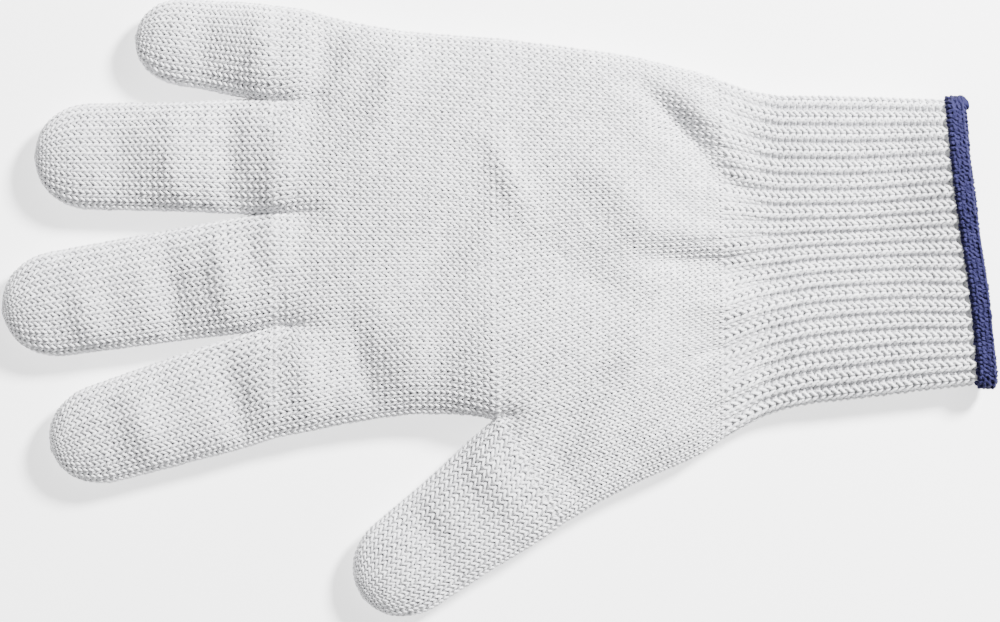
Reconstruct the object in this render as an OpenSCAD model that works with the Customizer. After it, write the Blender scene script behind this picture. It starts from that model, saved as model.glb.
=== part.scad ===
// Seamless knitted cut resistant glove, lying flat with its palm side up.
// +X runs from the fingers to the cuff, +Y towards the little finger, +Z up.
// The origin is under the middle of the glove, on the surface it lies on.
// Every knitted section is a hollow tube: a loft between flattened rings.

/* [Fabric] */
// Thickness of one layer of knitted fabric
wall = 1.6; // [1.2:0.1:2.0]
// Gap left between two sections that fold against each other
fold_gap = 0.3; // [0.2:0.05:0.5]

/* [Palm] */
// Height of the palm as it lies, both layers and the air between them
palm_h = 14; // [12:0.5:18]
// Where the fingers leave the palm, along X
knuckle_x = -50; // [-52:1:-46]
// Where the thumb leaves the palm, along X
thumb_fork_x = 0; // [-3:1:3]
// Where the palm ends and the ribbed cuff begins, along X
wrist_x = 67; // [64:1:70]

/* [Cuff] */
// Width of the relaxed cuff at the hem
cuff_w = 74; // [68:1:80]
// Height of the cuff as it lies
cuff_h = 12; // [10:0.5:14]
// Number of elastic threads laid inside the cuff
elastic_count = 9; // [5:1:10]
// Thickness of an elastic thread
elastic_d = 0.8; // [0.6:0.1:1.0]
// Width of the overlocked hem along the cuff
hem_len = 5.2; // [4:0.2:6.4]
// How far the hem stands proud of the cuff
hem_proud = 0.9; // [0.4:0.1:1.4]

/* [Digits] */
// Height of a finger at its root, as it lies
finger_h = 11.5; // [10:0.5:13]
// Height of a finger where its tip begins to close
finger_tip_h = 9.5; // [8.5:0.5:10.5]
// Length of the little finger from its root fold to its tip
little_len = 39.5; // [36:0.5:44]
// Length of the ring finger from its root fold to its tip
ring_len = 61; // [56:1:66]
// Length of the middle finger from its root fold to its tip
middle_len = 70.5; // [64:0.5:76]
// Length of the index finger from its root fold to its tip
index_len = 60; // [54:0.5:66]
// Length of the thumb from its root fold to its tip
thumb_len = 54.5; // [48:1:56]
// Heading of the thumb, turned from the fingers' heading
thumb_turn = 35; // [28:0.5:38]

/* [Hidden] */

yarn_colour = "whitesmoke";
elastic_colour = "gainsboro";
hem_colour = [0.29, 0.30, 0.47];

// A ring of a tube has this many steps round each of its two rounded sides.
side_steps = 8;
ring_points = 2 * (side_steps + 1);
// The closed end of a digit: how long it is, and its rings' places along it.
cap_len = 12;
cap_steps = [0.3, 0.55, 0.75, 0.9, 0.985];

// A digit: [root x, root y, heading turned from -X towards -Y, length,
//           half width at the root, half width where the tip begins,
//           share of the length at the second fold, share at the third]
root_x = -58;
little = [-54, 65.4, -6.4, little_len, 11.5, 10.6, 0.34, 0.64];
ring = [root_x, 39.3, 0, ring_len, 13.8, 13.1, 0.34, 0.64];
middle = [root_x, 10.2, 8.5, middle_len, 14.2, 13.4, 0.34, 0.64];
index = [root_x, -18.9, 16.2, index_len, 14, 13.2, 0.34, 0.64];
thumb = [8.5, -41.3, thumb_turn, thumb_len, 15, 14, 0.5, 0.5];

// Edges of the palm across Y, at the knuckles, at the thumb fork and at the wrist.
knuckle_edges = [-31.6, 77.2];
palm_middle_edges = [-27.2, 71.4];
fork_edges = [-28, 69.6];
wrist_edges = [-26.6, 56.8];
palm_end_h = 13;
// Corners of the lower palm, with the base of the thumb, inside its rounded edge.
edge_r = palm_h / 2;
lower_palm = [[-12, 62.6], [36, 58.4], [84, 43.8], [84, -10], [62, -21.4], [22.3, -43], [-3, -58.6], [-12, -21]];

// The cuff narrows quickly past the wrist, and its end leans a little.
cuff_waist_x = 76;
cuff_y = 17.4;
hem_x = 119.3;
hem_lean = -0.098;

// One station of a tube: [place along it, middle, half width, height, lean, wall].
function station(s, y, w, h, lean = 0, t = wall) = [s, y, w, h, lean, t];

// The points of a flattened ring, inset by t from a station's outer ring.
function ring_at(st, t, z0) =
    let (r = st[3] / 2 - t, flat = st[2] - st[3] / 2, zc = z0 + st[3] / 2)
    [for (side = [1, -1]) for (k = [0 : side_steps])
        let (a = -90 + 180 * k / side_steps + (side < 0 ? 180 : 0),
             dy = side * flat + r * cos(a))
        [st[0] + st[4] * dy, st[1] + dy, zc + r * sin(a)]];

// The faces between ring a and ring b, seen from outside or from inside.
function band(a, b, outside) =
    [for (k = [0 : ring_points - 1])
        let (n = (k + 1) % ring_points, q = [a + k, a + n, b + n, b + k])
        outside ? [q[0], q[3], q[2], q[1]] : q];

// A knitted tube through its stations. A closed tube has a cap past its last one.
module knit_tube(stations, closed = false, z0 = 0) {
    count = len(stations);
    last = count - 1;
    outer = [for (st = stations) each ring_at(st, 0, z0)];
    inner = [for (i = [0 : last])
        let (st = stations[i], back = closed ? st[5] * i / last : 0)
        each [for (p = ring_at(st, st[5], z0)) p - [back, 0, 0]]];
    base = count * ring_points;
    first_rim = band(0, base, false);
    last_rim = band(last * ring_points, base + last * ring_points, true);
    caps = [
        [for (k = [0 : ring_points - 1]) last * ring_points + ring_points - 1 - k],
        [for (k = [0 : ring_points - 1]) base + last * ring_points + k],
    ];
    skins = [for (i = [0 : last - 1]) each concat(
        band(i * ring_points, (i + 1) * ring_points, true),
        band(base + i * ring_points, base + (i + 1) * ring_points, false))];
    polyhedron(concat(outer, inner), concat(skins, first_rim, closed ? caps : last_rim), 4);
}

// Half width and height of a digit at a place along it.
function digit_w(d, s) = d[4] + (d[5] - d[4]) * s / (d[3] - cap_len);
function digit_h(d, s) = finger_h + (finger_tip_h - finger_h) * s / (d[3] - cap_len);
function digit_station(d, s) = station(s, 0, digit_w(d, s), digit_h(d, s));

// The rings that close a digit's tip.
function cap_stations(d) =
    let (start = d[3] - cap_len)
    [for (u = cap_steps)
        let (k = sqrt(1 - u * u), s = start + cap_len * u,
             w = max(4.2, d[5] * k), h = max(5, finger_tip_h * (0.35 + 0.65 * k)))
        station(s, 0, w, h)];

// Places a digit's own frame, whose x runs out along the digit, in the glove.
module on_digit(d) {
    translate([d[0], d[1], 0]) rotate([0, 0, 180 + d[2]]) children();
}

// The part of a digit between two shares of its length.
module digit_section(d, from, to) {
    color(yarn_colour) on_digit(d)
        knit_tube([digit_station(d, from * d[3] + fold_gap / 2),
                   digit_station(d, to * d[3] - fold_gap / 2)]);
}

// The last part of a digit, with its closed tip.
module digit_end(d, from) {
    color(yarn_colour) on_digit(d)
        knit_tube(concat([digit_station(d, from * d[3] + fold_gap / 2),
                          digit_station(d, d[3] - cap_len)], cap_stations(d)), closed = true);
}

// The first courses of a finger, between the palm's end and the root fold.
// low and high are where it starts along the palm's end, across Y.
module finger_root(d, low, high) {
    reach = knuckle_x - d[0];
    side = cos(d[2]) * (d[1] - (low + high) / 2) + sin(d[2]) * reach;
    start = station(tan(d[2]) * side - reach / cos(d[2]), side,
                    cos(d[2]) * (high - low) / 2, palm_end_h, tan(d[2]));
    color(yarn_colour) on_digit(d)
        knit_tube([start, digit_station(d, -fold_gap / 2)]);
}

function palm_station(x, edges, h) =
    station(x, (edges[0] + edges[1]) / 2, (edges[1] - edges[0]) / 2, h);

// The four-finger part of the palm.
module palm_upper() {
    middle_x = (knuckle_x + thumb_fork_x) / 2;
    color(yarn_colour) knit_tube([
        palm_station(knuckle_x, knuckle_edges, palm_end_h),
        palm_station(middle_x, palm_middle_edges, palm_h),
        palm_station(thumb_fork_x, fork_edges, palm_h),
    ]);
}

// A flat slab with a rounded edge, whose corners are lower_palm.
module palm_slab(inset) {
    r = edge_r - inset;
    hull() for (p = lower_palm) translate([p[0], p[1], edge_r]) {
        cylinder(r = r, h = 0.6 * r, center = true, $fn = 24);
        cylinder(r = 0.78 * r, h = 1.5 * r, center = true, $fn = 24);
        cylinder(r = 0.45 * r, h = 2 * r, center = true, $fn = 24);
    }
}

// The five-finger part of the palm, open to the palm above, the thumb and the cuff.
module palm_lower() {
    color(yarn_colour) intersection() {
        difference() {
            palm_slab(0);
            palm_slab(wall);
        }
        difference() {
            translate([thumb_fork_x, -90, -1])
                cube([wrist_x - fold_gap / 2 - thumb_fork_x, 180, palm_h + 2]);
            on_digit(thumb)
                translate([-fold_gap / 2, -25, -1]) cube([60, 50, palm_h + 2]);
        }
    }
}

// Half width of the cuff at a place along X, and its inside.
function cuff_half(x) =
    x < cuff_waist_x
    ? (wrist_edges[1] - wrist_edges[0]) / 2
        + (cuff_w / 2 + 2 - (wrist_edges[1] - wrist_edges[0]) / 2)
            * (x - wrist_x) / (cuff_waist_x - wrist_x)
    : cuff_w / 2 + 2 * (hem_x - x) / (hem_x - cuff_waist_x);
function cuff_middle(x) =
    let (wrist_y = (wrist_edges[0] + wrist_edges[1]) / 2)
    wrist_y + (cuff_y - wrist_y) * min(1, (x - wrist_x) / (hem_x - wrist_x));
function cuff_station(x, lean = 0, grow = 0, t = wall) =
    station(x, cuff_middle(x), cuff_half(x) + grow, cuff_h + 2 * grow, lean, t);

module wrist_cuff() {
    color(yarn_colour) translate([0, 0, hem_proud]) knit_tube([
        cuff_station(wrist_x + fold_gap / 2),
        cuff_station(cuff_waist_x),
        cuff_station(hem_x, hem_lean),
    ]);
}

// The covered elastic yarn that gathers the cuff, one loop for each thread.
module elastic_threads() {
    first = cuff_waist_x + 2;
    pitch = (hem_x - 5 - first) / (elastic_count - 1);
    inset = wall + 0.05;
    color(elastic_colour) for (i = [0 : elastic_count - 1])
        let (x = first + i * pitch, lean = hem_lean * (x - cuff_waist_x) / (hem_x - cuff_waist_x),
             st = cuff_station(x, lean, -inset, elastic_d))
        translate([0, 0, hem_proud + inset])
            knit_tube([st, station(x + elastic_d, st[1], st[2], st[3], lean, elastic_d)]);
}

// The overlocked edging, a rounded band round the mouth of the cuff.
module hem_binding() {
    start = cuff_station(hem_x, hem_lean, 0);
    profile = [[0, 0.35], [0.18, 0.9], [0.4, 1], [0.6, 1], [0.82, 0.85], [1, 0.3]];
    color(hem_colour) knit_tube([for (p = profile)
        station(hem_x + 0.02 + hem_len * p[0], start[1], start[2] + hem_proud * p[1],
                start[3] + 2 * hem_proud, hem_lean, wall + hem_proud * (0.4 + 0.6 * p[1]))]);
}

// The overlock's thread end, folded back into a small knob beside the hem.
module hem_thread_end() {
    side_y = cuff_y + cuff_w / 2 + hem_proud + 1.2;
    x = hem_x + hem_lean * cuff_w / 2;
    color(hem_colour) translate([x - 1, side_y, 7]) hull() {
        sphere(r = 1.1, $fn = 16);
        translate([hem_len, 0, 0]) sphere(r = 1.1, $fn = 16);
    }
}

palm_upper();
palm_lower();
finger_root(little, 53.75, knuckle_edges[1]);  // little_root
finger_root(ring, 24.95, 53.45);  // ring_root
finger_root(middle, -4.35, 24.65);  // middle_root
finger_root(index, knuckle_edges[0], -4.65);  // index_root
digit_section(little, 0, little[6]);  // little_base
digit_section(little, little[6], little[7]);  // little_middle
digit_end(little, little[7]);  // little_tip
digit_section(ring, 0, ring[6]);  // ring_base
digit_section(ring, ring[6], ring[7]);  // ring_middle
digit_end(ring, ring[7]);  // ring_tip
digit_section(middle, 0, middle[6]);  // middle_base
digit_section(middle, middle[6], middle[7]);  // middle_middle
digit_end(middle, middle[7]);  // middle_tip
digit_section(index, 0, index[6]);  // index_base
digit_section(index, index[6], index[7]);  // index_middle
digit_end(index, index[7]);  // index_tip
digit_section(thumb, 0, thumb[6]);  // thumb_base
digit_end(thumb, thumb[7]);  // thumb_tip
wrist_cuff();
elastic_threads();
hem_binding();
hem_thread_end();
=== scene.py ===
import math

import bpy
import numpy as np
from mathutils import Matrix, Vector


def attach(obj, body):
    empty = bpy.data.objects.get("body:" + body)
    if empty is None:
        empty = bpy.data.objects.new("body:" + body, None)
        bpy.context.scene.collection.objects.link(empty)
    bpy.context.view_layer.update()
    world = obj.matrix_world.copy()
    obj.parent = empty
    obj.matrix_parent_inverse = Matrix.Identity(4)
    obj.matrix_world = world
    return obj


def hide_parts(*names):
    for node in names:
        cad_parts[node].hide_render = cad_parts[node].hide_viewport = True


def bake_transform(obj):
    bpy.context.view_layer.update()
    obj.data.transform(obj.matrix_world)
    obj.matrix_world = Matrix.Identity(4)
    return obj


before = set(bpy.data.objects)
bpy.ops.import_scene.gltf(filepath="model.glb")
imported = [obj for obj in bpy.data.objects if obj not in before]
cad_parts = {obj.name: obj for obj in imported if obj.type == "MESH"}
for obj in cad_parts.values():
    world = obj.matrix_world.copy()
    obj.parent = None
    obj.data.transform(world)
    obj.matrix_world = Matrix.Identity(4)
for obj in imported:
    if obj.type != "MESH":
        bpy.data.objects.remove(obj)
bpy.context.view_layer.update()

MM = 0.001
RNG = np.random.default_rng(7)

# ---------------------------------------------------------------- the fabric
WALE = 1.96          # width of one column of stitches
COURSE = 1.58        # height of one row of stitches
YARN_R = 0.35        # half the yarn's thickness
LOOP_LEAN = 0.30     # how far a loop's head and foot bulge, in wales
LOOP_REACH = 0.80    # half a loop's height, in courses
LOOP_DEPTH = 0.38    # how far the legs stand in front of the loop's middle
LEG_BIAS = 0.05      # the spun yarn's twist lifts one leg of each loop and lowers the other
LOOP_POINTS = 12     # points along the yarn for each stitch
YARN_SIDES = 6
LINER_SHADE = -0.25   # painted shade of the fabric behind the stitches, on the scale of their depth
LINER_DROP = 0.42    # how far the inner layer, painted dark as shade, lies below the yarn's middle

# ---------------------------------------------------------------- the glove's shape
ROOT_X = -57.0       # where the fingers part
FORK_X = 0.0         # where the thumb parts
WRIST_X = 58.5       # where the rib begins
HEM_X = 118.6        # where the hem begins, on the glove's own axis
HEM_LEAN = -0.118    # the hem slants, and is bowed and waved
HEM_BOW = 0.0004
HEM_WAVE = 0.6
AXIS_Y = 17.4        # the cuff's middle line, and half its width
CUFF_HALF = 36.7
PALM_H = 12.6        # how thick the glove lies: at the palm, the wrist, the cuff and the
WRIST_H = 10.6       # fingers' roots
CUFF_H = 10.0
ROOT_H = 11.0
LIE = 0.78           # gap between the lowest yarn and the table
BASE = LIE + YARN_R + LOOP_DEPTH     # height of the underside's yarn
MIDDLE = 0.46        # share of the thickness at which the sides stand out furthest

# Upper and lower edge of the palm: x along the glove, y across it.
TOP_EDGE = np.array([
    (-62, 78.1), (-56, 77.7), (-50, 76.9), (-45, 75.5), (-36, 73.2), (-25, 71.4),
    (-15, 70.5), (0, 69.4), (14, 67.8), (26, 66.2), (36, 64.6), (45, 62.3),
    (52, 60.7), (60, 57.6), (67, 55.4), (73, 54.5), (84, 54.5), (104, 54.1), (119, 53.3),
])
LOW_EDGE = np.array([
    (-62, -33.2), (-56, -32.0), (-50, -30.9), (-41, -29.0), (-31, -27.3),
    (-22, -26.2), (-12, -26.2), (-5, -26.8), (0, -28.0),
])
# Lower edge of the palm past the fork: it follows the base of the thumb.
HEEL_EDGE = np.array([
    (17.0, -54.2), (26.5, -48.6), (36.5, -43.4), (45.0, -39.8), (52.0, -36.6),
    (59.5, -31.4), (67.0, -26.8), (72.0, -24.9), (78.0, -23.5), (90.0, -22.1), (104.0, -20.2),
    (119.0, -18.4),
])
FORK = (0.0, -28.0)

# A digit: the middle of its root, its heading in degrees from -X towards -Y, its length,
# half its width at the root and where the tip begins, and the length of its rounded tip.
DIGITS = {
    "little": dict(at=(-54.0, 65.8), turn=-6.8, length=39.5, root=11.7, tip=10.6, cap=12.5),
    "ring": dict(at=(-58.0, 39.6), turn=0.0, length=61.2, root=14.1, tip=13.1, cap=14.0),
    "middle": dict(at=(-58.0, 10.4), turn=8.9, length=70.4, root=14.5, tip=13.0, cap=15.0),
    "index": dict(at=(-58.0, -18.4), turn=17.0, length=59.6, root=14.1, tip=12.3, cap=15.0),
    "thumb": dict(at=(9.0, -41.1), turn=36.6, length=54.6, root=15.3, tip=12.9, cap=15.5),
}
# Lines between the fingers where they part, across the palm.
PARTINGS = (-4.0, 25.1, 54.0)
# Where each digit's root meets the palm: the ends of its first course.
ROOT_LINES = {
    "little": np.array([(ROOT_X, 77.8), (ROOT_X, PARTINGS[2])]),
    "ring": np.array([(ROOT_X, PARTINGS[2]), (ROOT_X, PARTINGS[1])]),
    "middle": np.array([(ROOT_X, PARTINGS[1]), (ROOT_X, PARTINGS[0])]),
    "index": np.array([(ROOT_X, PARTINGS[0]), (ROOT_X, -32.2)]),
    "thumb": np.array([FORK, HEEL_EDGE[0]]),
}
ROOT_TURN = 24.0     # a digit's courses turn square to it over this length
TAPER_H = 1.7        # a digit is this much thinner where its tip begins
CAP_STRETCH = 1.38   # length of fabric over a rounded tip, for each millimetre of it
CAP_END = 82         # degrees of the round that the last course reaches
CAP_BLUNT = 0.92     # below 1, the tip is blunter than an ellipse
CAP_FLAT = 0.32      # share of its thickness that a tip keeps at its very end
CAP_RISE = 1.2       # how far the end of a tip is off the table
WEB_LENGTH = 14.0    # how far the web of the fork reaches along the thumb, and the palm
WEB_PALM = 16.0
PARTED_LENGTH = 16.0     # the fingers' separate crowns fade into the palm over this length
SWELL_LENGTH = 30.0      # and the palm reaches its whole thickness over this one
# Columns of stitches on the front of each digit. They all run on into the palm.
FRONT_WALES = {"little": 12, "ring": 14, "middle": 14, "index": 14, "thumb": 15}
FINGERS = ("little", "ring", "middle", "index")
UPPER_FRONT = sum(FRONT_WALES[f] for f in FINGERS)
LOWER_FRONT = UPPER_FRONT + FRONT_WALES["thumb"]
FORK_SHARE = UPPER_FRONT / LOWER_FRONT     # share of the palm's columns above the fork
PER_ROW = 2          # rows, and columns, of the grid for each stitch


def smooth(a, b, x):
    """0 before a, 1 after b, and a soft step between them."""
    t = np.clip((np.asarray(x, float) - a) / (b - a), 0, 1)
    return t * t * (3 - 2 * t)


def heading(turn):
    """The direction a digit runs out in, and the direction across it."""
    t = math.radians(turn)
    return np.array([-math.cos(t), -math.sin(t)]), np.array([-math.sin(t), math.cos(t)])


# ---------------------------------------------------------------- sections of the tube
HALF = 180           # points on each side of a section, before it is evened out
# Share of the way across, with its points close together at the edges.
SHARE = (1 - np.cos(np.pi * np.linspace(0, 1, HALF))) / 2
ACROSS = 1 - 2 * SHARE                   # the same, from 1 at the upper edge to -1

# How square a crown is along its middle and at its sides. What lies on the table is flatter.
DIGIT_OVER = (2.3, 2.1)
DIGIT_UNDER = (2.8, 2.6)
PALM_OVER = (2.6, 2.1)
PALM_UNDER = (3.2, 2.6)
CUFF_OVER = (3.0, 2.1)
CUFF_UNDER = (3.4, 2.6)
WEB_SQUARE = (5.0, 0.6)                  # what the web of the fork adds to them


def crown(q, roundness, side):
    """Height of a stuffed tube across its width: 0 at q = -1 and 1, and 1 in the middle."""
    return np.clip(1 - np.abs(q) ** roundness, 0, 1) ** (1 / side)


def webbed(q, shape, near, side):
    """A crown that is squarer on one side, where the web of the thumb's fork holds it up."""
    roundness, flat = shape
    soft = crown(q, roundness, flat)
    firm = crown(q, roundness + WEB_SQUARE[0], flat + WEB_SQUARE[1])
    return np.where(side * q > 0, soft + (firm - soft) * near, soft)


def even_arcs(line, breaks, counts, back):
    """Points spaced evenly along each stretch of one side of a ring, between the shares in
    breaks. The back is walked the other way, so that the ring closes."""
    step = np.linalg.norm(np.diff(line, axis=0), axis=1)
    along = np.concatenate([[0], np.cumsum(step)])
    ends = np.interp(breaks, SHARE, along)
    at = []
    for a, b, n in zip(ends[:-1], ends[1:], counts):
        at.append(a + (b - a) * (np.arange(n) + (1 if back else 0)) / n)
    at = np.concatenate(at)
    if back:
        at = at[::-1]
    return np.stack([np.interp(at, along, line[:, k]) for k in range(3)], axis=1)


def section(path, low, high, top, bottom, breaks, counts):
    """A ring over and under a line across the glove. path is the line, from its upper edge
    to its lower one; low and high are the heights that top and bottom share out."""
    middle = low + MIDDLE * (high - low)
    over = np.column_stack([path, middle + (high - middle) * top])
    under = np.column_stack([path, middle - (middle - low) * bottom])
    return np.concatenate([even_arcs(over, breaks, counts, False),
                           even_arcs(under, breaks, counts, True)])


# Soft hollows and swellings of the front: x, y, half length along the fold,
# half width across it, heading of the fold in degrees, height.
FOLDS = [
    # little finger
    (-75, 68, 10, 4.5, 83, -1.0), (-61, 67, 11, 4.5, 83, 1.5), (-45, 63, 12, 5.0, 75, -1.8),
    (-27, 59, 13, 5.0, 70, 1.3),
    # ring finger
    (-97, 38, 11, 4.5, 90, -0.9), (-83, 38, 12, 4.5, 90, 1.5), (-69, 38, 13, 4.5, 88, -1.9),
    (-56, 36, 13, 4.5, 80, 1.6),
    # middle finger
    (-105, -2, 10, 4.5, 99, 1.2), (-84, 5, 12, 4.5, 99, -1.7), (-70, 9, 12, 4.5, 99, 1.7),
    (-57, 19, 9, 4.0, 80, 1.2),
    # index finger
    (-91, -29, 11, 5.0, 106, 1.3), (-68, -22, 12, 5.0, 106, -1.8), (-49, -16, 12, 5.0, 104, 1.6),
    (-35, -14, 12, 4.5, 100, -1.6), (-22, -14, 11, 5.0, 80, 1.2),
    # thumb
    (0, -44, 12, 5.0, 125, 1.2), (-18, -57, 12, 5.0, 125, -1.0),
    # palm
    (2, -8, 22, 14, 10, 1.2), (3, 34, 10, 3.8, -65, 1.1), (-14, 15, 18, 6.0, 52, -1.9),
    (46, 47, 15, 3.8, -47, -3.3), (51, 53, 10, 3.4, -47, 1.3), (31, 31, 12, 6.0, -45, 1.4),
    (36, -9, 11, 6.0, 45, 1.5), (25, -31, 11, 5.0, 60, 1.2), (47, -33, 9, 4.0, 35, 0.8),
    (24, 8, 16, 6.0, -25, -0.9),
    # creases that run into the cuff
    (49, 12, 15, 3.8, -5, -2.0), (49, 20, 14, 3.8, -8, 1.0), (58, 1, 10, 3.5, 5, 1.1),
    (60, -20, 9, 3.0, 38, 1.1), (57, -10, 9, 2.8, 24, -1.0), (58, 33, 9, 2.8, -16, -1.0),
]
FOLD_GAIN = 1.25


def folds(x, y):
    """Height of the soft folds at a place on the glove."""
    total = np.zeros_like(x)
    for fx, fy, half_long, half_wide, turn, height in FOLDS:
        t = math.radians(turn)
        along = (x - fx) * math.cos(t) + (y - fy) * math.sin(t)
        across = -(x - fx) * math.sin(t) + (y - fy) * math.cos(t)
        total += FOLD_GAIN * height * np.exp(-((along / half_long) ** 2 + (across / half_wide) ** 2))
    return total


def ripple(x, y, phase, size):
    """A slow unevenness, the same every run."""
    a = np.sin(x / 7.1 + 1.3 * phase) * np.cos(y / 6.3 - phase)
    b = np.sin(x / 3.9 - y / 5.3 + 2.1 * phase)
    return size * (0.6 * a + 0.4 * b)


def shaped(grid, low, high, amount=1.0):
    """Adds the folds to the front of a grid of rings, and an unevenness to all of it."""
    x, y, z = grid[..., 0], grid[..., 1], grid[..., 2]
    middle = low + MIDDLE * (high - low)
    front = smooth(0.15, 0.75, (z - middle) / (high - middle))
    back = smooth(0.15, 0.75, (middle - z) / (middle - low))
    lift = folds(x, y) + ripple(x, y, 0.4, 0.35)
    out = grid.copy()
    dents = np.clip(ripple(x, y, 2.0, 0.5), 0, None)
    out[..., 2] = z + amount * (front * lift + back * dents)
    return out


# ---------------------------------------------------------------- the knitted sections
def digit_grid(name):
    """Rings of a digit from its tip to its root, and each ring's place along it."""
    d = DIGITS[name]
    out, across = heading(d["turn"])
    root = ROOT_LINES[name]
    start = d["length"] - d["cap"]
    cap_rows = PER_ROW * int(round(d["cap"] * CAP_STRETCH / COURSE))
    angles = np.linspace(math.radians(CAP_END), 0, cap_rows, endpoint=False)
    places = [start + d["cap"] * math.sin(a) for a in angles]
    shrink = [math.cos(a) ** CAP_BLUNT for a in angles]
    count = PER_ROW * int(round(start / COURSE))
    body = np.linspace(start, 0, count + 1)
    places = np.array(places + list(body))
    shrink = np.array(shrink + [1.0] * len(body))
    rings = []
    for s, k in zip(places, shrink):
        share = max(0.0, min(1.0, s / start))
        half = (d["root"] + (d["tip"] - d["root"]) * share) * k
        high = (ROOT_H - TAPER_H * share) * (CAP_FLAT + (1 - CAP_FLAT) * k)
        centre = np.array(d["at"]) + out * s
        ends = np.array([centre + across * half, centre - across * half])
        turned = 1 - smooth(0, ROOT_TURN, s)
        ends = ends + (root + out * s - ends) * turned
        path = ends[0] + np.outer(SHARE, ends[1] - ends[0])
        lift = BASE + (1 - k) * CAP_RISE
        near = 1 - smooth(0, WEB_LENGTH, s) if name == "thumb" else 0.0
        over = webbed(ACROSS, DIGIT_OVER, near, 1)
        under = webbed(ACROSS, DIGIT_UNDER, near, 1)
        rings.append(section(path, lift, lift + high, over, under,
                             (0, 1), (FRONT_WALES[name] * PER_ROW,)))
    grid = np.array(rings)
    lows = np.full((len(places), 1), BASE)
    highs = lows + (ROOT_H - TAPER_H * np.clip(places / start, 0, 1))[:, None]
    return shaped(grid, lows, highs), places


def edge_at(table, x):
    """How far across the glove an edge is, at a place along it."""
    return np.interp(x, table[:, 0], table[:, 1])


def lobes(y, low, high, shape):
    """Crowns of the four fingers side by side."""
    cuts = [low, *PARTINGS, high]
    total = np.zeros_like(y)
    for a, b in zip(cuts[:-1], cuts[1:]):
        q = (2 * y - a - b) / (b - a)
        total = np.maximum(total, np.where(np.abs(q) < 1, crown(np.clip(q, -1, 1), *shape), 0))
    return total


def upper_breaks():
    """Shares across the palm where one finger's columns give way to the next's, and how
    many columns of the grid each has."""
    top, low = ROOT_LINES["little"][0, 1], ROOT_LINES["index"][1, 1]
    cuts = [(top - y) / (top - low) for y in reversed(PARTINGS)]
    return [0.0, *cuts, 1.0], [FRONT_WALES[f] * PER_ROW for f in FINGERS]


def upper_grid():
    """Rings of the four-finger palm, from the fingers to the thumb's fork."""
    count = PER_ROW * int(round((FORK_X - ROOT_X) / COURSE))
    breaks, counts = upper_breaks()
    xs = np.linspace(ROOT_X, FORK_X, count + 1)
    rings, highs = [], []
    for x in xs:
        top, low = edge_at(TOP_EDGE, x), edge_at(LOW_EDGE, x)
        y = top + (low - top) * SHARE
        parted = 1 - smooth(ROOT_X, ROOT_X + PARTED_LENGTH, x)
        near = smooth(FORK_X - WEB_PALM, FORK_X, x)
        over = (1 - parted) * webbed(ACROSS, PALM_OVER, near, -1)
        over = over + parted * lobes(y, low, top, DIGIT_OVER)
        under = (1 - parted) * webbed(ACROSS, PALM_UNDER, near, -1)
        under = under + parted * lobes(y, low, top, DIGIT_UNDER)
        thick = ROOT_H + (PALM_H - ROOT_H) * smooth(ROOT_X, ROOT_X + SWELL_LENGTH, x)
        path = np.column_stack([np.full_like(y, x), y])
        rings.append(section(path, BASE, BASE + thick, over, under, breaks, counts))
        highs.append(BASE + thick)
    return shaped(np.array(rings), BASE, np.array(highs)[:, None])


def side_by_side(q_palm, q_thumb, palm, thumb):
    """The crowns of the palm and the thumb beside each other."""
    return np.where(SHARE <= FORK_SHARE, webbed(q_palm, palm, 1.0, -1),
                    webbed(q_thumb, thumb, 1.0, 1))


THUMB_BLEND = 0.03   # the thumb's swelling fades over this share of the width by the fork
EASE_MOST = 0.5      # the columns' corner at the fork is eased by up to this much, most of
EASE_AT = 0.35       # all at this share of the way to the wrist,
EASE_WIDE = 0.3      # and over this much of it
EASE_POINTS = 12     # points on each side that a point is averaged with
PARTED_SHARE = 0.14  # the thumb's own crown fades over this share of the way to the wrist
WRIST_SHARE = 0.55   # and past this one the palm thins towards the wrist


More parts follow.
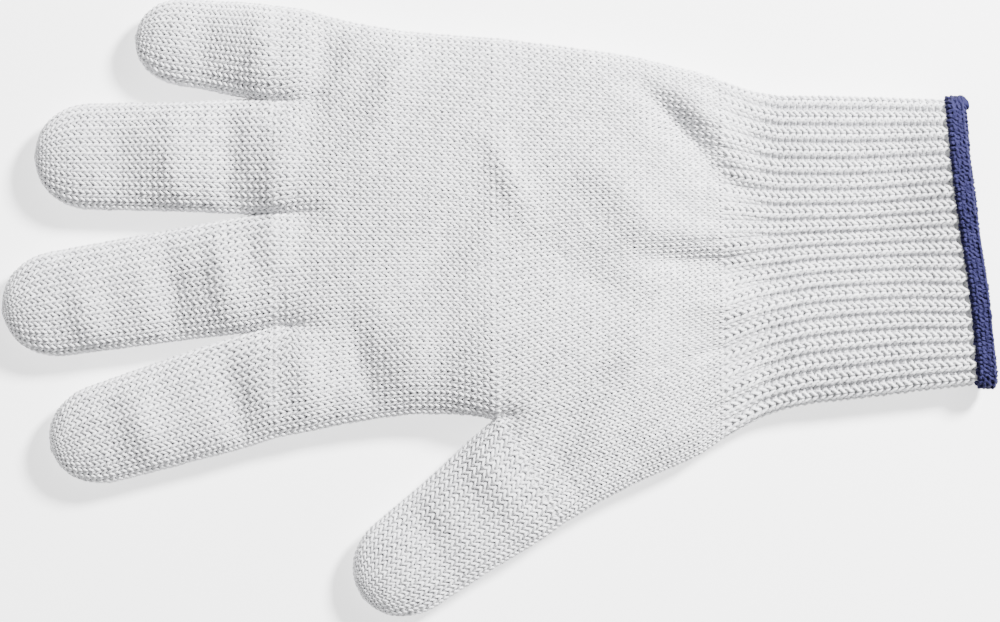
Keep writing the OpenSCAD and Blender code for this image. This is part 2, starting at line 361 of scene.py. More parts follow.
def lower_grid():
    """Rings of the five-finger palm, from the fork, where they bend round to the thumb's
    root, to the wrist, where they are straight."""
    count = PER_ROW * int(round((WRIST_X - FORK_X) / COURSE))
    breaks, counts = upper_breaks()
    breaks = [b * FORK_SHARE for b in breaks] + [1.0]
    counts = counts + [FRONT_WALES["thumb"] * PER_ROW]
    columns = 2 * LOWER_FRONT * PER_ROW
    on_thumb = smooth(FORK_SHARE - THUMB_BLEND, FORK_SHARE + THUMB_BLEND, SHARE)
    end_top = np.array([WRIST_X, edge_at(TOP_EDGE, WRIST_X)])
    end_heel = np.array([WRIST_X, edge_at(HEEL_EDGE, WRIST_X)])
    meet_end = end_top + (end_heel - end_top) * FORK_SHARE
    to_meet = np.clip(SHARE / FORK_SHARE, 0, 1)
    past = np.clip((SHARE - FORK_SHARE) / (1 - FORK_SHARE), 0, 1)
    q_palm = 1 - 2 * to_meet
    q_thumb = 1 - 2 * past
    two_over = side_by_side(q_palm, q_thumb, PALM_OVER, DIGIT_OVER)
    two_under = side_by_side(q_palm, q_thumb, PALM_UNDER, DIGIT_UNDER)
    window = 2 * EASE_POINTS + 1
    shares = np.linspace(0, 1, count + 1)
    rings, highs = [], []
    for b in shares:
        x_top = FORK_X + (WRIST_X - FORK_X) * b
        top = np.array([x_top, edge_at(TOP_EDGE, x_top)])
        x_heel = HEEL_EDGE[0, 0] + (WRIST_X - HEEL_EDGE[0, 0]) * b
        heel = np.array([x_heel, edge_at(HEEL_EDGE, x_heel)])
        meet = np.array(FORK) + (meet_end - np.array(FORK)) * b
        path = top + np.outer(to_meet, meet - top) + np.outer(past, heel - meet)
        ease = EASE_MOST * math.exp(-((b - EASE_AT) / EASE_WIDE) ** 2) * smooth(0, 0.2, b)
        smooth_path = np.column_stack([
            np.convolve(np.pad(path[:, k], EASE_POINTS, mode="reflect", reflect_type="odd"),
                        np.ones(window) / window, mode="valid") for k in range(2)])
        path = path + (smooth_path - path) * ease
        parted = 1 - smooth(0, PARTED_SHARE, b)
        over = (1 - parted) * crown(ACROSS, *PALM_OVER) + parted * two_over
        under = (1 - parted) * crown(ACROSS, *PALM_UNDER) + parted * two_under
        high = BASE + PALM_H + (WRIST_H - PALM_H) * smooth(WRIST_SHARE, 1.0, b)
        swell = high + (ROOT_H - PALM_H) * parted * on_thumb
        rings.append(section(path, BASE, swell, over, under, breaks, counts))
        highs.append(high)
    grid = shaped(np.array(rings), BASE, np.array(highs)[:, None])
    away = (WRIST_X - FORK_X) * (1 - shares)[:, None]
    near = np.clip(1 - away / rib_reach(columns)[None, :], 0, 1)
    profile = rib_profile(ribs_round(grid[-1]))
    pleat = RIBS_START * profile[None, :] * near
    grid = grid + normals_of(grid) * pleat[..., None]
    return grid


# ---------------------------------------------------------------- the cuff
RIBS = 40            # ribs round the cuff: a raised column of stitches and a sunk one
RIB_WALES = 2 * RIBS
RIB_COURSE = 1.70
RIB_RISE = 0.40      # how far the raised columns stand out
GROOVE = 1.50        # how far the sunk column lies below them
GROOVE_AT = 0.89     # the sunk column's place across the rib, and its half width
GROOVE_HALF = 0.14
RIBS_START = 0.35    # how deep the ribs are where the cuff begins, and the length over
RIBS_FULL = 16.0     # which they reach their whole depth
RAISED_SHARE = 0.78  # share of the rib's width that the raised column takes
RIB_YARN = 1.18      # the cuff's yarn is this much thicker, with the elastic beside it


def rib_depth(row):
    """How far the ribs have come out at a course of the cuff."""
    return RIBS_START + (1 - RIBS_START) * smooth(0, RIBS_FULL / RIB_COURSE, row)


def rib_profile(across):
    """Height of the ribbed fabric at a place round the ring, counted in ribs."""
    off = np.mod(across - GROOVE_AT + 0.5, 1.0) - 0.5
    return RIB_RISE - GROOVE * np.exp(-(off / GROOVE_HALF) ** 2)


def ribs_round(ring):
    """The place of each of a ring's points, counted in ribs. The front and the back of the
    cuff have half the ribs each."""
    step = np.linalg.norm(np.roll(ring, -1, axis=0) - ring, axis=1)
    half = len(ring) // 2
    front = np.concatenate([[0], np.cumsum(step[:half])])
    back = np.concatenate([[0], np.cumsum(step[half:])])
    return np.concatenate([front[:-1] / front[-1] * RIBS / 2,
                           RIBS / 2 + back[:-1] / back[-1] * RIBS / 2])


def rib_reach(columns):
    """How far each groove runs out of the cuff into the palm. It varies round the ring."""
    t = np.arange(columns) / columns * 2 * np.pi
    return 12.0 + 4.0 * np.sin(5 * t + 0.7) + 3.0 * np.sin(13 * t + 2.0) + 2.0 * np.sin(31 * t)


CUFF_LIFT = 0.7      # the cuff's underside is this much off the table, past this share of
CUFF_SHARE = 0.25    # its length
CUFF_PINCH = 1.7     # how far its ribs draw together half way along
CUFF_GAPE = 3.0      # how far its mouth opens, and from where to where along the glove and
GAPE_X = (100, 120)  # across it
GAPE_Y = (-10, 30)


def cuff_grid():
    """Rings of the ribbed cuff, from the wrist to the hem."""
    count = PER_ROW * int(round((HEM_X - WRIST_X) / RIB_COURSE))
    shares = np.linspace(0, 1, count + 1)
    rings, lows, highs = [], [], []
    for b in shares:
        x = WRIST_X + (HEM_X - WRIST_X) * b
        top, low = edge_at(TOP_EDGE, x), edge_at(HEEL_EDGE, x)
        y = top + (low - top) * SHARE
        off = y - AXIS_Y
        slant = HEM_LEAN * off + HEM_BOW * off ** 2
        slant = slant - HEM_WAVE * np.sin(np.pi * off / CUFF_HALF)
        path = np.column_stack([x + b * slant, y])
        own = smooth(0, CUFF_SHARE, b)
        low_z = BASE + CUFF_LIFT * own
        high = BASE + WRIST_H + (CUFF_H - WRIST_H) * own
        over = crown(ACROSS, *PALM_OVER) * (1 - own) + crown(ACROSS, *CUFF_OVER) * own
        under = crown(ACROSS, *PALM_UNDER) * (1 - own) + crown(ACROSS, *CUFF_UNDER) * own
        rings.append(section(path, low_z, high, over, under, (0, 1), (RIBS * PER_ROW,)))
        lows.append(low_z)
        highs.append(high)
    lows, highs = np.array(lows)[:, None], np.array(highs)[:, None]
    fading = 1 - smooth(0.05, 0.30, shares)[:, None]
    grid = shaped(np.array(rings), lows, highs, fading)
    x, y = grid[..., 0], grid[..., 1]
    front = smooth(5.0, 8.0, grid[..., 2])
    wave = 0.35 * np.sin(y / 9.0 + x / 31) + 0.25 * np.sin(y / 5.1 - x / 17 + 1.0)
    inside = smooth(WRIST_X + 2, WRIST_X + 14, x)
    pinch = np.sin(np.pi * (x - WRIST_X) / (HEM_X - WRIST_X))
    u = np.clip((y - AXIS_Y) / CUFF_HALF, -1, 1)
    grid[..., 1] -= CUFF_PINCH * front * np.clip(pinch, 0, 1) * np.sin(np.pi * u)
    gape = CUFF_GAPE * smooth(*GAPE_X, x) * smooth(*GAPE_Y, y)
    grid[..., 2] += front * inside * (wave + gape)
    return grid


# ---------------------------------------------------------------- yarn laid on a grid
def normals_of(grid):
    """Outward normals of a grid of closed rings."""
    around = np.roll(grid, -1, axis=1) - np.roll(grid, 1, axis=1)
    along = np.gradient(grid, axis=0)
    n = np.cross(along, around)
    n /= np.linalg.norm(n, axis=2, keepdims=True) + 1e-9
    centre = grid.mean(axis=1, keepdims=True)
    if ((grid - centre) * n).sum() < 0:
        n = -n
    return n


def sample(field, row, column):
    """The value of a grid at fractional rows and columns. Columns go round, and rows past
    either end carry on in a straight line."""
    rows, columns = field.shape[:2]
    r0 = np.clip(np.floor(row).astype(int), 0, rows - 2)
    c0 = np.floor(column).astype(int)
    fr, fc = (row - r0)[..., None], (column - c0)[..., None]
    c0 = c0 % columns
    c1 = (c0 + 1) % columns
    a = field[r0, c0] * (1 - fc) + field[r0, c1] * fc
    b = field[r0 + 1, c0] * (1 - fc) + field[r0 + 1, c1] * fc
    return a * (1 - fr) + b * fr


# How much one stitch differs from the next: its lean and height in wales and courses, its
# depth and thickness as shares, and its shade.
LEAN_SPREAD, REACH_SPREAD, ROW_SPREAD = 0.035, 0.045, 0.03
DEPTH_SPREAD, THICK_SPREAD, TONE_SPREAD = 0.12, 0.035, 0.3


def stitch_rows(grid, normals, wales, rows, rib=False, offset=0.0):
    """The yarn's middle line for each course: an array of rows, points, 3, with its normals,
    its radius and its tone: painted shade where it lies deep, with a random shade for each stitch."""
    t = 2 * np.pi * (np.arange(LOOP_POINTS) + 0.5) / LOOP_POINTS
    across = t / (2 * np.pi) + LOOP_LEAN * np.sin(2 * t)
    up = LOOP_REACH * np.cos(t)
    deep = -LOOP_DEPTH * np.cos(2 * t) + LEG_BIAS * np.sin(t)
    columns = grid.shape[1]
    j = np.arange(wales)[None, :, None]
    i = np.asarray(rows, float)[:, None, None]
    shape = (len(rows), wales, 1)
    lean = RNG.normal(0, LEAN_SPREAD, shape)
    shift = RNG.normal(0, REACH_SPREAD, shape)
    w = j + across[None, None, :] + lean * np.cos(t)[None, None, :]
    c = i + up[None, None, :] * (1 + shift) + RNG.normal(0, ROW_SPREAD, shape)
    depth = np.broadcast_to(deep, w.shape) * (1 + RNG.normal(0, DEPTH_SPREAD, shape))
    rise = np.zeros_like(w)
    sunk = 0.0
    if rib:
        # the sunk column is squeezed between the raised ones, and turned inside out
        out = rib_depth(i)
        sunk = out * ((j % 2) == 1)
        whole = np.floor(w / 2)
        even = w / 2 - whole
        within = even + out * (np.interp(even, (0, 0.5, 1), (0, RAISED_SHARE, 1.0)) - even)
        w = 2 * (whole + within)
        rise = out * rib_profile(whole + within)
        depth = depth * (1 - 1.6 * sunk)
    gr = c * PER_ROW
    gc = w * (columns / wales)
    p = sample(grid, gr, gc)
    n = sample(normals, gr, gc)
    n /= np.linalg.norm(n, axis=-1, keepdims=True) + 1e-9
    p = p + n * (depth + rise + offset)[..., None]
    count = wales * LOOP_POINTS
    thick = YARN_R * (RIB_YARN if rib else 1.0)
    radius = thick * (1 + RNG.normal(0, THICK_SPREAD, shape))
    radius = np.broadcast_to(radius, w.shape).reshape(len(rows), count)
    # where the rings are small, near a tip, the yarn is drawn thinner
    here = np.linalg.norm(np.roll(grid, -1, axis=1) - grid, axis=2).sum(axis=1)
    girth = np.interp(np.asarray(rows) * PER_ROW, np.arange(len(here)), here) / (wales * WALE)
    radius = radius * np.clip(girth, 0.3, 1.08)[:, None] ** 0.8
    # painted shade: the tone is lower where the yarn lies deep and on the sunk columns of the rib,
    # and each stitch adds a random shade
    tone = np.broadcast_to(deep / LOOP_DEPTH, w.shape) + RNG.normal(0, TONE_SPREAD, shape) - sunk
    tone = tone.reshape(len(rows), count)
    return p.reshape(len(rows), count, 3), n.reshape(len(rows), count, 3), radius, tone


def tube_mesh(lines, normals, radius, tone, closed=True):
    """Round yarn along each line: vertices, faces, UVs for each corner, and a tone that paints shade
    on it.
    """
    rows, count, _ = lines.shape
    if closed:
        tangent = np.roll(lines, -1, axis=1) - np.roll(lines, 1, axis=1)
    else:
        tangent = np.gradient(lines, axis=1)
    tangent /= np.linalg.norm(tangent, axis=2, keepdims=True) + 1e-9
    side = np.cross(tangent, normals)
    side /= np.linalg.norm(side, axis=2, keepdims=True) + 1e-9
    up = np.cross(side, tangent)
    angle = 2 * np.pi * np.arange(YARN_SIDES) / YARN_SIDES
    offset = (side[:, :, None, :] * np.cos(angle)[None, None, :, None]
              + up[:, :, None, :] * np.sin(angle)[None, None, :, None])
    verts = lines[:, :, None, :] + offset * radius[:, :, None, None]
    links = count if closed else count - 1
    r, i, k = np.meshgrid(np.arange(rows), np.arange(links), np.arange(YARN_SIDES),
                          indexing="ij")
    i2, k2 = (i + 1) % count, (k + 1) % YARN_SIDES

    def at(a, b):
        return (r * count + a) * YARN_SIDES + b

    quads = np.stack([at(i, k), at(i2, k), at(i2, k2), at(i, k2)], axis=-1).reshape(-1, 4)
    u0, u1 = i / links, (i + 1) / links
    v0 = (r + 0.04 + 0.92 * k / YARN_SIDES) / rows
    v1 = (r + 0.04 + 0.92 * (k + 1) / YARN_SIDES) / rows
    uv = np.stack([np.stack([u0, v0], -1), np.stack([u1, v0], -1),
                   np.stack([u1, v1], -1), np.stack([u0, v1], -1)], axis=-2).reshape(-1, 2)
    tones = np.repeat(tone.reshape(-1), YARN_SIDES)
    return verts.reshape(-1, 3), quads, uv, tones


def liner_mesh(grid, normals, first, last, drop):
    """The fabric behind the yarn's surface, so that no light comes through between stitches. It is
    painted dark, as the shade between them.
    """
    part = (grid - normals * drop)[first:last + 1]
    rows, columns = part.shape[:2]
    r, c = np.meshgrid(np.arange(rows - 1), np.arange(columns), indexing="ij")
    c2 = (c + 1) % columns
    quads = np.stack([r * columns + c, r * columns + c2,
                      (r + 1) * columns + c2, (r + 1) * columns + c], axis=-1).reshape(-1, 4)
    uv = np.zeros((len(quads) * 4, 2))
    corner_c = np.stack([c, c + 1, c + 1, c], axis=-1).reshape(-1)
    corner_r = np.stack([r, r, r + 1, r + 1], axis=-1).reshape(-1)
    uv[:, 0] = corner_c / columns
    uv[:, 1] = corner_r / max(rows - 1, 1)
    return part.reshape(-1, 3), quads, uv, np.full(rows * columns, LINER_SHADE)


def build(name, parts, material):
    """One mesh object from several (vertices, quads, UVs, tones of painted shade), in millimetres.
    Each part has its own band of the UV square."""
    verts = np.concatenate([p[0] for p in parts]) * MM
    starts = np.cumsum([0] + [len(p[0]) for p in parts[:-1]])
    quads = np.concatenate([p[1] + s for p, s in zip(parts, starts)])
    shares = np.array([len(p[1]) for p in parts], float)
    shares = shares / shares.sum()
    base = np.concatenate([[0], np.cumsum(shares)[:-1]])
    uv = np.concatenate([
        np.column_stack([p[2][:, 0] * 0.998 + 0.001, b + p[2][:, 1] * s * 0.996])
        for p, b, s in zip(parts, base, shares)])
    tones = np.concatenate([p[3] for p in parts])
    mesh = bpy.data.meshes.new(name)
    mesh.vertices.add(len(verts))
    mesh.vertices.foreach_set("co", verts.astype(np.float32).reshape(-1))
    mesh.loops.add(len(quads) * 4)
    mesh.loops.foreach_set("vertex_index", quads.astype(np.int32).reshape(-1))
    mesh.polygons.add(len(quads))
    mesh.polygons.foreach_set("loop_start", np.arange(0, len(quads) * 4, 4, dtype=np.int32))
    mesh.update(calc_edges=True)
    mesh.polygons.foreach_set("use_smooth", np.ones(len(quads), bool))
    layer = mesh.uv_layers.new(name="OFBake")
    layer.data.foreach_set("uv", uv.astype(np.float32).reshape(-1))
    # the tone of each vertex, which the material turns into painted shade
    depth = mesh.attributes.new("painted_shade_and_tone", "FLOAT", "POINT")
    depth.data.foreach_set("value", tones.astype(np.float32))
    mesh.validate()
    mesh.materials.append(material)
    obj = bpy.data.objects.new(name, mesh)
    bpy.context.scene.collection.objects.link(obj)
    return obj


# ---------------------------------------------------------------- materials
def node(tree, kind, **values):
    """A new node with some of its properties set."""
    n = tree.nodes.new(kind)
    for key, value in values.items():
        setattr(n, key, value)
    return n


def yarn_material(name, light, dark, deep, twist, sheen, rough, gloss=0.35):
    """Spun yarn: a soft mottle along the thread, its twist as fine slanting ridges, painted shade
    in the colour deep where the loops lie deep in the fabric, and a slight sheen from its loose
    fibres."""
    mat = bpy.data.materials.new(name)
    mat.use_nodes = True
    tree = mat.node_tree
    links = tree.links
    shader = tree.nodes["Principled BSDF"]
    place = node(tree, "ShaderNodeTexCoord")
    mottle = node(tree, "ShaderNodeTexNoise")
    mottle.inputs["Scale"].default_value = 420.0
    mottle.inputs["Detail"].default_value = 3.0
    links.new(place.outputs["Object"], mottle.inputs["Vector"])
    cloud = node(tree, "ShaderNodeTexNoise")
    cloud.inputs["Scale"].default_value = 38.0
    cloud.inputs["Detail"].default_value = 2.0
    links.new(place.outputs["Object"], cloud.inputs["Vector"])
    both = node(tree, "ShaderNodeMath", operation="MULTIPLY_ADD")
    both.inputs[1].default_value = 0.7
    links.new(mottle.outputs["Fac"], both.inputs[0])
    share = node(tree, "ShaderNodeMath", operation="MULTIPLY")
    share.inputs[1].default_value = 0.3
    links.new(cloud.outputs["Fac"], share.inputs[0])
    links.new(share.outputs[0], both.inputs[2])
    ramp = node(tree, "ShaderNodeValToRGB")
    ramp.color_ramp.elements[0].position = 0.36
    ramp.color_ramp.elements[0].color = (*dark, 1)
    ramp.color_ramp.elements[1].position = 0.62
    ramp.color_ramp.elements[1].color = (*light, 1)
    links.new(both.outputs[0], ramp.inputs["Fac"])
    # painted shade: the vertex tone mixes the colour towards deep where the yarn lies deep, in the
    # sunk rib columns and behind the stitches
    tone = node(tree, "ShaderNodeAttribute", attribute_name="painted_shade_and_tone")
    down = node(tree, "ShaderNodeMapRange")
    down.inputs["From Min"].default_value = -1.0
    down.inputs["From Max"].default_value = 1.0
    links.new(tone.outputs["Fac"], down.inputs["Value"])
    mix = node(tree, "ShaderNodeMix", data_type="RGBA")
    mix.inputs["A"].default_value = (*deep, 1)
    links.new(down.outputs["Result"], mix.inputs["Factor"])
    links.new(ramp.outputs["Color"], mix.inputs["B"])
    links.new(mix.outputs["Result"], shader.inputs["Base Color"])
    ply = node(tree, "ShaderNodeTexWave", wave_type="BANDS", bands_direction="DIAGONAL")
    ply.inputs["Scale"].default_value = twist
    ply.inputs["Distortion"].default_value = 2.5
    ply.inputs["Detail"].default_value = 2.0
    links.new(place.outputs["Object"], ply.inputs["Vector"])
    ridge = node(tree, "ShaderNodeMath", operation="ADD")
    links.new(ply.outputs["Fac"], ridge.inputs[0])
    links.new(mottle.outputs["Fac"], ridge.inputs[1])
    bump = node(tree, "ShaderNodeBump")
    bump.inputs["Strength"].default_value = 0.55
    bump.inputs["Distance"].default_value = 0.00012
    links.new(ridge.outputs[0], bump.inputs["Height"])
    links.new(bump.outputs["Normal"], shader.inputs["Normal"])
    grain = node(tree, "ShaderNodeMapRange")
    grain.inputs["To Min"].default_value = rough - 0.1
    grain.inputs["To Max"].default_value = rough + 0.1
    links.new(mottle.outputs["Fac"], grain.inputs["Value"])
    links.new(grain.outputs["Result"], shader.inputs["Roughness"])
    shader.inputs["Sheen Weight"].default_value = sheen
    shader.inputs["Sheen Roughness"].default_value = 0.4
    shader.inputs["Specular IOR Level"].default_value = gloss
    return mat


# The third colour of each yarn is its painted shade, used where its tone is lowest.
YARN = yarn_material("yarn", (0.86, 0.86, 0.875), (0.73, 0.73, 0.75), (0.54, 0.54, 0.56),
                     260.0, 0.25, 0.72)
ELASTIC = yarn_material("elastic", (0.72, 0.72, 0.73), (0.62, 0.62, 0.64), (0.42, 0.42, 0.44),
                        420.0, 0.15, 0.65)
THREAD = yarn_material("hem_thread", (0.027, 0.025, 0.085), (0.018, 0.016, 0.060),
                       (0.009, 0.009, 0.036), 520.0, 0.0, 0.80, 0.12)


# ---------------------------------------------------------------- knitting the pieces
FILLER_DROP = 0.45   # how far below the surface the courses lie that fill a join
RIB_POINTS = 8       # points across each rib of the liner in the cuff


def knit_piece(name, grid, normals, wales, first, last, rib=False, under=()):
    """The courses from first to last of a section, with the liner behind them. The courses
    in under lie below the surface, and fill the join with the next section."""
    rows = np.arange(first, last)
    yarns = [tube_mesh(*stitch_rows(grid, normals, wales, rows, rib))]
    if len(under):
        filler = stitch_rows(grid, normals, wales, under, rib, -FILLER_DROP)
        yarns.append(tube_mesh(*filler))
    low = max(0, first * PER_ROW - 1)
    high = min(len(grid) - 1, last * PER_ROW)
    if rib:
        grid, normals = ribbed(grid, normals)
    parts = [*yarns, liner_mesh(grid, normals, low, high, LINER_DROP)]
    if first < 0:
        parts.append(tip_plug(grid[0] - normals[0] * LINER_DROP))
    return build(name, parts, YARN)


def ribbed(grid, normals):
    """A finer grid whose rings rise and sink with the ribs."""
    columns = RIBS * RIB_POINTS
    rows = np.arange(len(grid))[:, None] + np.zeros((1, columns))
    across = np.zeros((len(grid), 1)) + np.arange(columns)[None, :]
    at = across * (grid.shape[1] / columns)
    n = sample(normals, rows, at)
    n /= np.linalg.norm(n, axis=-1, keepdims=True) + 1e-9
    rise = rib_depth(rows / PER_ROW) * rib_profile(across / RIB_POINTS)
    return sample(grid, rows, at) + n * rise[..., None], n


def tip_plug(ring):
    """Closes the end of a digit."""
    centre = ring.mean(axis=0)
    rings = np.array([centre + (ring - centre) * k for k in (1.0, 0.5, 0.02)])
    return liner_mesh(rings, np.zeros_like(rings), 0, 2, 0.0)


# Where a digit folds, as shares of its length, and what the parts between are called.
FINGER_FOLDS = {"base": 0.0, "middle": 0.34, "tip": 0.64}
THUMB_FOLDS = {"base": 0.0, "tip": 0.5}
PAST_TIP = 1.0       # courses up to this far past a digit's end belong to its tip
PAST_ROOT = 99.0     # and down to this far before its root to its base


def knit_digit(name):
    """A digit's pieces, each across the fold at its own root."""
    d = DIGITS[name]
    where = THUMB_FOLDS if name == "thumb" else FINGER_FOLDS
    sections, shares = list(where), list(where.values())
    wales = 2 * FRONT_WALES[name]
    grid, places = digit_grid(name)
    normals = normals_of(grid)
    courses = (len(grid) - 1) // PER_ROW
    place = places[::PER_ROW][:courses]
    cuts = [d["length"] + PAST_TIP]
    for a, b in zip(shares[-2::-1], shares[:0:-1]):
        cuts.append((a + b) / 2 * d["length"])
    cuts.append(-PAST_ROOT)
    for k in range(len(sections)):
        own = len(sections) - 1 - k
        chosen = np.nonzero((place < cuts[k]) & (place >= cuts[k + 1]))[0]
        part = sections[own]
        first = int(chosen[0]) if k else -1
        last = int(chosen[-1]) + 1
        under = (courses - 0.5, courses) if last == courses else ()
        obj = knit_piece(f"{name}_{part}_knit", grid, normals, wales, first, last, under=under)
        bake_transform(obj)
        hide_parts(f"{name}_{part}")


for digit in DIGITS:
    knit_digit(digit)


FILLER_ROWS = (-0.55, 0.05)      # the courses that fill a join, counted from it


def knit_tube(names, grid, wales, rib=False, filled=False):
    """A section in several pieces of about as many courses each, none of them too heavy.
    Where it is filled, courses below the surface fill the join with the next section."""
    normals = normals_of(grid)
    courses = (len(grid) - 1) // PER_ROW
    cuts = np.linspace(0, courses, len(names) + 1).round().astype(int)
    pieces = []
    for k, piece in enumerate(names):
        under = ()
        if filled and k == len(names) - 1:
            under = [courses + row for row in FILLER_ROWS]
        obj = knit_piece(piece, grid, normals, wales, cuts[k], cuts[k + 1], rib, under)
        pieces.append(obj)
    return pieces


# The four-finger palm.
UPPER_NAMES = ("palm_finger_side", "palm_upper_2", "palm_upper_3", "palm_fork_side")
upper_pieces = knit_tube(UPPER_NAMES, upper_grid(), 2 * UPPER_FRONT, filled=True)
for obj in upper_pieces:
    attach(obj, "palm")
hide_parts("little_root", "ring_root", "middle_root", "index_root")
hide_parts("palm_upper")

# The five-finger palm.
LOWER_NAMES = [f"palm_heel_{k}" for k in range(1, 6)]
lower_pieces = knit_tube(LOWER_NAMES, lower_grid(), 2 * LOWER_FRONT, filled=True)
for obj in lower_pieces:
    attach(obj, "palm")
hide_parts("palm_lower")

# The cuff. Its first piece bends at the wrist.
CUFF_NAMES = ("cuff_wrist_rib", "cuff_middle_rib", "cuff_hem_rib")
cuff = cuff_grid()
cuff_n = normals_of(cuff)
cuff_pieces = knit_tube(CUFF_NAMES, cuff, RIB_WALES, rib=True)
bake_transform(cuff_pieces[0])
for obj in cuff_pieces[1:]:
    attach(obj, "cuff")
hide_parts("wrist_cuff")


# ---------------------------------------------------------------- elastic yarn in the cuff
ELASTIC_COUNT = 9
ELASTIC_R = 0.3
ELASTIC_INSET = 1.5          # how far inside the fabric's surface it lies
ELASTIC_ENDS = (14, 8)       # rows of the grid left free at the wrist and at the hem


def elastic_rings():
    """Plain threads laid round inside the cuff."""
    rows = np.linspace(ELASTIC_ENDS[0], len(cuff) - ELASTIC_ENDS[1], ELASTIC_COUNT).astype(int)
    lines = cuff[rows] - cuff_n[rows] * ELASTIC_INSET
    size = np.full(lines.shape[:2], ELASTIC_R)
    return tube_mesh(lines, cuff_n[rows], size, np.zeros(lines.shape[:2]))


elastic = build("elastic_threads_laid", [elastic_rings()], ELASTIC)
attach(elastic, "cuff")
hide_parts("elastic_threads")


# ---------------------------------------------------------------- the overlocked hem
HEM_LEN = 4.7        # width of the edging
HEM_STITCHES = 128
HEM_R = 0.40         # half the thread's thickness
WRAP_POINTS = 20     # points along each stitch of the wrapped and of the looping threads
LOOPER_POINTS = 14
WRAP_SLANT = 0.16    # how far a stitch is pulled along the hem, in stitches
LOOPER_SLANT = 0.42
WRAP_BULGE = 1.38    # how far the threads and the core stand off the cuff's edge
LOOPER_BULGE = 1.50
CORE_BULGE = 1.12
# The looping threads: where each runs across the edging, how far it swings, and its phase.
LOOPERS = ((0.16, 0.55, 0.0), (0.42, 0.62, 1.9), (0.70, 0.58, 3.9))
OUT = np.array([1.0, 0.0, 0.0])      # the way out of the cuff
edge_ring, edge_n = cuff[-1], cuff_n[-1]


def on_edge(along):
    """Points of the cuff's edge at fractional places, and their normals."""
    rows = np.zeros(len(along))
    p = sample(np.array([edge_ring, edge_ring]), rows, along)
    n = sample(np.array([edge_n, edge_n]), rows, along)
    return p, n / (np.linalg.norm(n, axis=1, keepdims=True) + 1e-9)


def wrap_line(phase):
    """A thread that wraps over the cuff's edge, out and in, and moves on one stitch each
    turn. Each stitch is pulled a little to one side and the other."""
    steps = np.arange(HEM_STITCHES * WRAP_POINTS)
    turn = 2 * np.pi * steps / WRAP_POINTS + phase
    slant = WRAP_SLANT * np.sin(2 * turn + phase)
    along = (steps / WRAP_POINTS + slant) / HEM_STITCHES * len(edge_ring)
    p, n = on_edge(along)
    length = HEM_LEN * (1 + 0.035 * np.sin(along / 11.0) + 0.03 * np.sin(along / 3.7))
    reach = length / 2 * (1 - np.cos(turn)) - 0.35
    bulge = WRAP_BULGE * np.sin(turn) + 0.14 * np.sin(5 * turn + phase)
    return p + OUT * reach[:, None] + n * bulge[:, None], n


def looper_line(at, swing, phase, side):
    """A thread that locks the wraps together: it runs round the hem in small loops."""
    steps = np.arange(HEM_STITCHES * LOOPER_POINTS)
    turn = 2 * np.pi * steps / LOOPER_POINTS + phase
    slant = LOOPER_SLANT * np.sin(turn)
    along = (steps / LOOPER_POINTS + slant) / HEM_STITCHES * len(edge_ring)
    p, n = on_edge(along)
    reach = at * HEM_LEN + swing * np.cos(turn)
    bulge = side * (LOOPER_BULGE + 0.10 * np.cos(2 * turn))
    return p + OUT * reach[:, None] + n * bulge[:, None], n


def wander(count, size, span):
    """A smooth, small, irregular displacement along a thread that closes on itself."""
    raw = RNG.normal(0, 1, (count, 3))
    kernel = np.hanning(span)
    kernel /= math.sqrt((kernel ** 2).sum())
    padded = np.concatenate([raw[-span:], raw, raw[:span]])
    soft = np.stack([np.convolve(padded[:, k], kernel, "same") for k in range(3)], axis=1)
    return soft[span:-span] * size


def hem_core():
    """The padded core under the hem's threads."""
    rings = []
    for a in np.linspace(0, 2 * np.pi, 15):
        reach = HEM_LEN / 2 * (1 - math.cos(a)) - 0.2
        rings.append(edge_ring + OUT * reach + edge_n * CORE_BULGE * math.sin(a))
    rings = np.array(rings)
    return liner_mesh(rings, np.zeros_like(rings), 0, len(rings) - 1, 0.0)


threads = [wrap_line(0.0), wrap_line(np.pi)]
for at, swing, phase in LOOPERS:
    for side in (1, -1):
        threads.append(looper_line(at, swing, phase, side))
bands = []
for line, n in threads:
    count = len(line)
    shade = 0.2 + 0.5 * np.sin(2 * np.pi * np.arange(count) / 20.0)
    bands.append(tube_mesh((line + wander(count, 0.10, 9))[None], n[None],
                           np.full((1, count), HEM_R), shade[None]))
hem = build("hem_overlock", [*bands, hem_core()], THREAD)
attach(hem, "cuff")
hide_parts("hem_binding")


# ---------------------------------------------------------------- the hem's thread end
KNOB_AT = (118.3, 52.6, 9.6)
KNOB_HALF = 1.7      # half its length, and how thick the coiled tail is
KNOB_GIRTH = 1.5
KNOB_COILS = 13
KNOB_POINTS = 240
TAIL_R = 0.5         # half the thickness of the chained thread


def knob_line():
    """A short tail of chained thread, folded back on itself over the hem's upper end."""
    t = np.linspace(0, 1, KNOB_POINTS)
    x = KNOB_AT[0] + KNOB_HALF * (2 * t - 1)
    y = KNOB_AT[1] + 0.9 * np.sin(np.pi * t) - 0.5 * (1 - t)
    z = KNOB_AT[2] + 0.5 * np.sin(2 * np.pi * t)
    middle = np.column_stack([x, y, z])
    coil = 2 * np.pi * KNOB_COILS * t
    girth = KNOB_GIRTH * np.sin(np.pi * np.clip(t * 0.90 + 0.05, 0, 1)) ** 0.4
    around = np.column_stack([0.35 * np.sin(coil * 0.5), np.cos(coil), np.sin(coil)])
    return middle + around * girth[:, None]


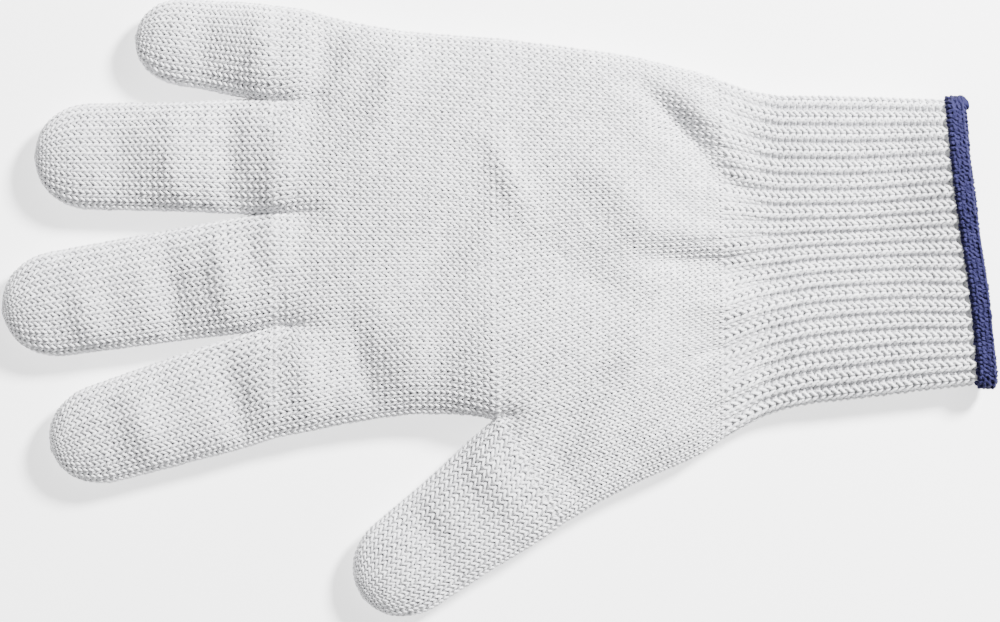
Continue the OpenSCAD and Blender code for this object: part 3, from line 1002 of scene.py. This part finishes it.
tail = knob_line()
tail_n = np.array([0.0, 0.0, 1.0]) + 0.3 * (tail - KNOB_AT) * (0, 1, 1)
tail_n /= np.linalg.norm(tail_n, axis=1, keepdims=True)
tail_r = np.full((1, len(tail)), TAIL_R)
tail_tone = np.full((1, len(tail)), 0.2)
knob = build("hem_tail_knob",
             [tube_mesh(tail[None], tail_n[None], tail_r, tail_tone, closed=False)], THREAD)
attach(knob, "cuff")
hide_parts("hem_thread_end")


# ---------------------------------------------------------------- table, light and camera
def table_material():
    """Plain matt white, lit a little from within, like a lit photo table."""
    mat = bpy.data.materials.new("table")
    mat.use_nodes = True
    shader = mat.node_tree.nodes["Principled BSDF"]
    shader.inputs["Base Color"].default_value = (0.92, 0.92, 0.92, 1)
    shader.inputs["Roughness"].default_value = 0.9
    shader.inputs["Specular IOR Level"].default_value = 0.1
    shader.inputs["Emission Color"].default_value = (1, 1, 1, 1)
    shader.inputs["Emission Strength"].default_value = 1.5
    return mat


bpy.ops.mesh.primitive_plane_add(size=6, location=(0, 0, 0))
table = bpy.context.object
table.name = "table"
table.data.materials.append(table_material())


def area_light(name, place, size, power):
    """A round soft light that points at the middle of the glove."""
    data = bpy.data.lights.new(name, "AREA")
    data.shape = "DISK"
    data.size = size
    data.energy = power
    obj = bpy.data.objects.new(name, data)
    obj.location = place
    obj.rotation_euler = (-Vector(place)).to_track_quat("-Z", "Y").to_euler()
    bpy.context.scene.collection.objects.link(obj)


area_light("key", (0.62, 0.56, 0.66), 0.22, 66.0)
area_light("fill", (-0.6, 0.2, 1.0), 0.9, 5.0)
world = bpy.data.worlds.new("studio")
world.use_nodes = True
world.node_tree.nodes["Background"].inputs["Color"].default_value = (1, 1, 1, 1)
world.node_tree.nodes["Background"].inputs["Strength"].default_value = 0.32
bpy.context.scene.world = world

camera_data = bpy.data.cameras.new("camera")
camera_data.lens = 100
camera_data.sensor_width = 36
camera = bpy.data.objects.new("camera", camera_data)
CAMERA_HEIGHT = 0.722
camera.location = (0.0003, -0.0002, CAMERA_HEIGHT)
camera.rotation_euler = (0, 0, 0)
bpy.context.scene.collection.objects.link(camera)
bpy.context.scene.camera = camera
